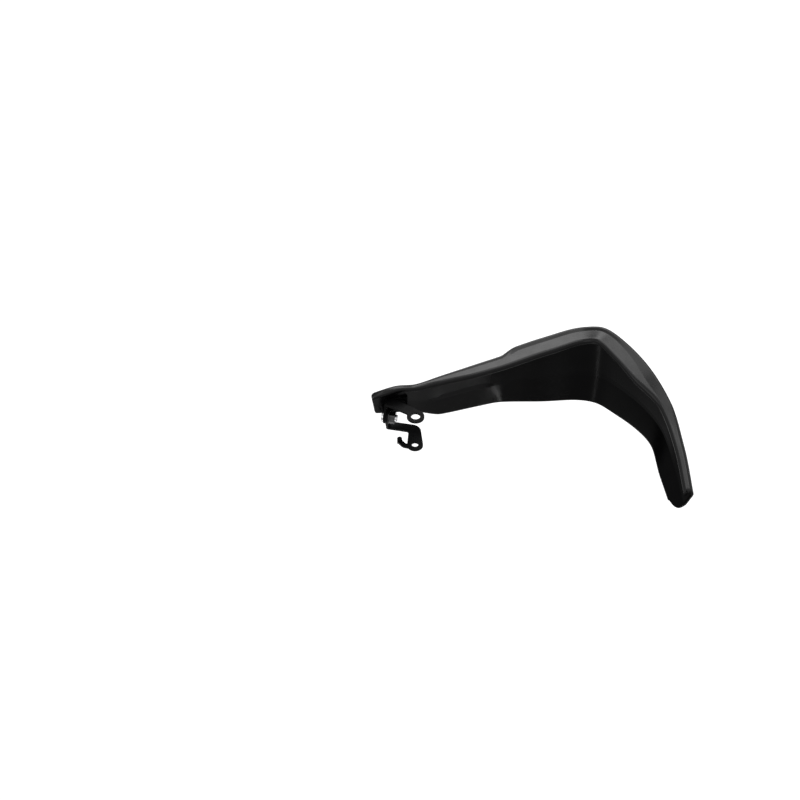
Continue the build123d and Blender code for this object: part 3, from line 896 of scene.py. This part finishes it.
    def pad(self) -> Surface:
        """Pad on the tongue for the stay's foot: a rounded prism from the seat into the wall.

        Its plan is a super-ellipse of high order on the pad's box, carried up in rings that draw
        in at the top and the bottom as quarter circles.

        Returns:
            Points, quads, triangles and shares of painted inside shade.
        """
        sizes = self.stations(np.array(self.pad_span))
        low = np.array((sizes[0, 0], self.seat_face))
        high = np.array((sizes[1, 0], sizes[:, 1].mean()))
        angle = np.linspace(0, 2 * np.pi, PAD_SIDES, endpoint=False)
        round_plan = np.stack([np.cos(angle), np.sin(angle)], axis=-1)
        plan = np.sign(round_plan) * np.abs(round_plan) ** self.pad_power
        bend = np.radians(np.linspace(90, 0, PAD_EDGE_SAMPLES))
        drawn = self.pad_edge * (1 - np.cos(bend))
        inset = np.concatenate([[self.pad_closing], drawn, drawn[::-1], [self.pad_closing]])
        lift = self.pad_edge * (1 - np.sin(bend))
        floor, roof = self.pad_heights
        heights = np.concatenate([[floor], floor + lift, roof - lift[::-1], [roof]])
        reach = np.maximum((high - low) / 2 - inset[:, None], self.pad_least)
        rings = (low + high) / 2 + plan[None] * reach[:, None, :]
        rows = len(heights)
        levels = np.broadcast_to(heights[:, None, None], (rows, PAD_SIDES, 1))
        points = np.concatenate([rings, levels], axis=-1).reshape(-1, 3)
        caps = ring_caps(rows, PAD_SIDES)
        return points, grid_faces(rows, PAD_SIDES), caps, np.ones(len(points))

    def boss(self) -> Surface:
        """Boss for the collar on the tongue's front: a closed profile turned about the screw's axis.

        Returns:
            Points, quads, no triangles and shares of painted inside shade.
        """
        inner, outer, edge = self.boss_hole / 2, self.boss_size / 2, self.boss_edge
        back, face, bevel = self.seat_face + self.boss_back, self.boss_face, self.boss_bevel
        bend = np.radians(np.linspace(0, 90, BOSS_EDGE_SAMPLES))
        rim = outer - edge + edge * np.cos(bend)
        rise = face - edge + edge * np.sin(bend)
        foot_radius = (inner, inner + self.boss_foot, outer - bevel, outer, outer)
        foot_front = (back, back, back, back + bevel, face - edge - self.boss_run)
        radius = np.concatenate([foot_radius, rim, (inner + bevel, inner, inner)])
        front = np.concatenate([foot_front, rise, (face, face - bevel, back + bevel)])
        angle = np.linspace(0, 2 * np.pi, BOSS_SIDES, endpoint=False)[:, None]
        x = self.screw_place[0] + radius * np.cos(angle)
        z = self.screw_place[1] + radius * np.sin(angle)
        points = np.stack([x, np.broadcast_to(front, x.shape), z], axis=-1).reshape(-1, 3)
        quads = grid_faces(BOSS_SIDES + 1, len(radius)) % len(points)
        return points, quads, np.zeros((0, 3), dtype=int), np.zeros(len(points))

    def build(self) -> bpy.types.Object:
        """Makes the shell's object and lets it stand for the solid shield.

        Returns:
            The shell's object.
        """
        surface = SurfaceMesh("shield_shell")
        surface.take(*self.skin())
        surface.take(*self.pad())
        surface.take(*self.boss())
        piece = surface.make()
        weighted = piece.modifiers.new("even_shading", "WEIGHTED_NORMAL")
        weighted.weight = self.shading_weight
        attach(piece, "root")
        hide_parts("shield")
        return piece

    def dress(self, piece: bpy.types.Object, finish: MouldedPlastic) -> None:
        """Gives the shell its plastic.

        Args:
            piece: the shell's object.
            finish: the plastic.
        """
        piece.data.materials.append(finish.material())


@dataclass
class Hardware:
    """Steel stays and their fasteners, which stay as they are in the solid part."""

    painted: tuple[str, ...] = ("mirror_stay", "lever_stay", "tongue_bolt", "weld_nut")
    plated: tuple[str, ...] = ("stay_bolt", "tongue_collar")
    dulled: tuple[str, ...] = ("stay_washer", "stay_nut")
    weld_gap: float = 0.002
    edge: float = 0.28
    edge_steps: int = 2
    edge_angle: float = 32.0

    def soften(self, piece: bpy.types.Object) -> None:
        """Joins the node's loose triangles and breaks its sharp edges.

        Args:
            piece: the solid part's object.
        """
        weld = piece.modifiers.new("weld", "WELD")
        weld.merge_threshold = self.weld_gap * MM
        bevel = piece.modifiers.new("edge_break", "BEVEL")
        bevel.width = self.edge * MM
        bevel.segments = self.edge_steps
        bevel.limit_method = "ANGLE"
        bevel.angle_limit = radians(self.edge_angle)
        bevel.harden_normals = True

    def dress(
        self, paint: SatinPaint, plate: ZincPlate, dull: ZincPlate
    ) -> list[bpy.types.Object]:
        """Softens every node and gives it paint or plating.

        Args:
            paint: finish of the stays.
            plate: finish of the bright fasteners.
            dull: darker zinc of the washer and the nut.

        Returns:
            The dressed objects.
        """
        dressed = []
        groups = ((self.painted, paint), (self.plated, plate), (self.dulled, dull))
        for names, finish in groups:
            material = finish.material()
            for name in names:
                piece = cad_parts[name]
                self.soften(piece)
                piece.data.materials.clear()
                piece.data.materials.append(material)
                dressed.append(piece)
        return dressed


@dataclass
class Lamp:
    """Soft rectangular lamp that looks at a point, with its places and sizes in metres."""

    name: str
    place: Point
    target: Point
    size: Span
    level: float
    cone: float = 180.0

    def build(self) -> bpy.types.Object:
        """Makes the lamp, with its power set so that its face has the level along its axis.

        A lamp that is narrowed to a cone keeps its power, so its face gets brighter. The power
        is therefore cut by one less half the cone's angle over that half's tangent.

        Returns:
            The lamp's object.
        """
        data = bpy.data.lights.new(self.name, "AREA")
        data.shape = "RECTANGLE"
        data.size, data.size_y = self.size
        data.spread = radians(self.cone)
        half_cone = radians(self.cone) / 2
        narrowing = 1.0 - half_cone / tan(half_cone)
        data.energy = self.level * np.pi * self.size[0] * self.size[1] * narrowing
        lamp = bpy.data.objects.new(self.name, data)
        lamp.location = self.place
        way = Vector(self.target) - Vector(self.place)
        lamp.rotation_euler = way.to_track_quat("-Z", "Y").to_euler()
        bpy.context.scene.collection.objects.link(lamp)
        return lamp


@dataclass
class Studio:
    """White floor and surround, soft lamps, and a long-lens camera at the photograph's angle."""

    elevation: float = 43.0
    yaw: float = 6.0
    pixels: float = 800.0
    scale: float = 1.136
    origin_pixel: Span = (415.6, 417.65)
    camera_distance: float = 8.0
    sensor: float = 36.0
    clip_end: float = 60.0
    floor_level: float = -0.60
    floor_size: float = 30.0
    floor_cell: float = 40.0
    floor_dark: Colour = (0.93, 0.93, 0.93)
    floor_light: Colour = (0.95, 0.95, 0.95)
    floor_lift: float = 0.35
    world_level: float = 0.30
    seen_level: float = 1.0
    lamps: tuple[Lamp, ...] = (
        Lamp("back_lamp", (0.20, 1.05, 1.20), (0.20, 1.05, 0.0), (1.0, 0.9), 5.0),
        Lamp("side_lamp", (0.74, 0.32, 1.20), (0.74, 0.32, 0.0), (0.60, 0.86), 3.8),
        Lamp("overhead_lamp", (0.18, 0.05, 1.20), (0.18, 0.05, 0.0), (0.50, 1.0), 2.2),
        Lamp("panel_lamp", (0.415, -0.245, -0.285), (0.080, 0.048, -0.027), (0.06, 0.05), 60.0, 12.0),
        Lamp("ridge_lamp", (-0.114, -0.246, -0.302), (0.167, 0.066, -0.030), (0.03, 0.12), 10.0),
        Lamp("front_lamp", (-0.7, -1.3, 0.9), (0.08, 0.0, 0.0), (0.9, 0.9), 1.2),
    )

    def axes(self) -> tuple[Vector, Vector, Vector]:
        """Works out how the camera stands.

        Returns:
            Its right, up and forward ways.
        """
        e, a = radians(self.elevation), radians(self.yaw)
        right = Vector((cos(a), -sin(a), 0))
        ahead = Vector((sin(a), cos(a), 0))
        up = ahead * sin(e) + Vector((0, 0, cos(e)))
        return right, up, ahead * cos(e) - Vector((0, 0, sin(e)))

    def camera(self) -> bpy.types.Object:
        """Makes the camera so that the part's origin falls on its pixel at the photograph's scale.

        Returns:
            The camera's object.
        """
        right, up, way = self.axes()
        middle = self.pixels / 2
        aside = (middle - self.origin_pixel[0]) / self.scale * MM
        above = (self.origin_pixel[1] - middle) / self.scale * MM
        data = bpy.data.cameras.new("camera")
        data.sensor_width = self.sensor
        data.lens = self.sensor * self.camera_distance / (self.pixels / self.scale * MM)
        data.clip_end = self.clip_end
        camera = bpy.data.objects.new("camera", data)
        camera.matrix_world = Matrix((right, up, -way)).transposed().to_4x4()
        camera.location = right * aside + up * above - way * self.camera_distance
        bpy.context.scene.collection.objects.link(camera)
        bpy.context.scene.camera = camera
        return camera

    @staticmethod
    def seen_share(tree: bpy.types.NodeTree) -> bpy.types.NodeSocket:
        """Tells the rays that see a surface from those that light by it.

        Args:
            tree: the node tree that takes the nodes.

        Returns:
            A socket that is 1 for camera, glossy and transmission rays, and 0 for the rest.
        """
        path = tree.nodes.new("ShaderNodeLightPath")
        share = path.outputs["Is Camera Ray"]
        for name in ("Is Glossy Ray", "Is Transmission Ray"):
            larger = tree.nodes.new("ShaderNodeMath")
            larger.operation = "MAXIMUM"
            tree.links.new(share, larger.inputs[0])
            tree.links.new(path.outputs[name], larger.inputs[1])
            share = larger.outputs["Value"]
        return share

    def surround(self) -> bpy.types.World:
        """Makes the world: white where it is seen, and a plain soft level where it lights.

        Returns:
            The world.
        """
        world = bpy.data.worlds.new("surround")
        world.use_nodes = True
        tree = world.node_tree
        tree.nodes.clear()
        mix = tree.nodes.new("ShaderNodeMixShader")
        output = tree.nodes.new("ShaderNodeOutputWorld")
        tree.links.new(self.seen_share(tree), mix.inputs["Fac"])
        for level, socket in ((self.world_level, mix.inputs[1]), (self.seen_level, mix.inputs[2])):
            background = tree.nodes.new("ShaderNodeBackground")
            background.inputs["Color"].default_value = WHITE
            background.inputs["Strength"].default_value = level
            tree.links.new(background.outputs["Background"], socket)
        tree.links.new(mix.outputs["Shader"], output.inputs["Surface"])
        bpy.context.scene.world = world
        return world

    def floor(self) -> bpy.types.Object:
        """Makes the pale floor, a little lifted in brightness where it is seen.

        Returns:
            The floor's object.
        """
        half = self.floor_size / 2
        corners = np.array(((-half, -half), (half, -half), (half, half), (-half, half)))
        points = np.concatenate([corners, np.full((4, 1), self.floor_level)], axis=1)
        mesh = bpy.data.meshes.new("floor")
        mesh.from_pydata(points, [], [(0, 1, 2, 3)])
        floor = bpy.data.objects.new("floor", mesh)
        bpy.context.scene.collection.objects.link(floor)
        graph = FinishGraph("pale_floor")
        graph.fix(Specular_IOR_Level=0.0, Roughness=1.0, Emission_Color=WHITE)
        graph.tint(graph.noise(self.floor_cell), self.floor_dark, self.floor_light)
        lift = graph.add("ShaderNodeMath", operation="MULTIPLY")
        lift.inputs[1].default_value = self.floor_lift
        graph.join(self.seen_share(graph.tree), lift.inputs[0])
        graph.join(lift.outputs["Value"], graph.shader.inputs["Emission Strength"])
        floor.data.materials.append(graph.material)
        return floor

    def build(self) -> None:
        """Sets the view transform and makes floor, surround, lamps and camera."""
        bpy.context.scene.view_settings.view_transform = "Standard"
        self.floor()
        self.surround()
        for lamp in self.lamps:
            lamp.build()
        self.camera()


def main() -> None:
    """Builds the shell, dresses the hardware and sets the studio, and reports each piece."""
    logging.basicConfig(level=logging.INFO, format="%(name)s: %(message)s")
    shell = ShieldShell()
    piece = shell.build()
    shell.dress(piece, MouldedPlastic())
    LOG.info("%s: %d faces", piece.name, len(piece.data.polygons))
    for dressed in Hardware().dress(SatinPaint(), ZincPlate(), DULL_ZINC):
        LOG.info("%s: dressed", dressed.name)
    Studio().build()
    LOG.info("studio: ready")


if __name__ == "__main__":
    main()
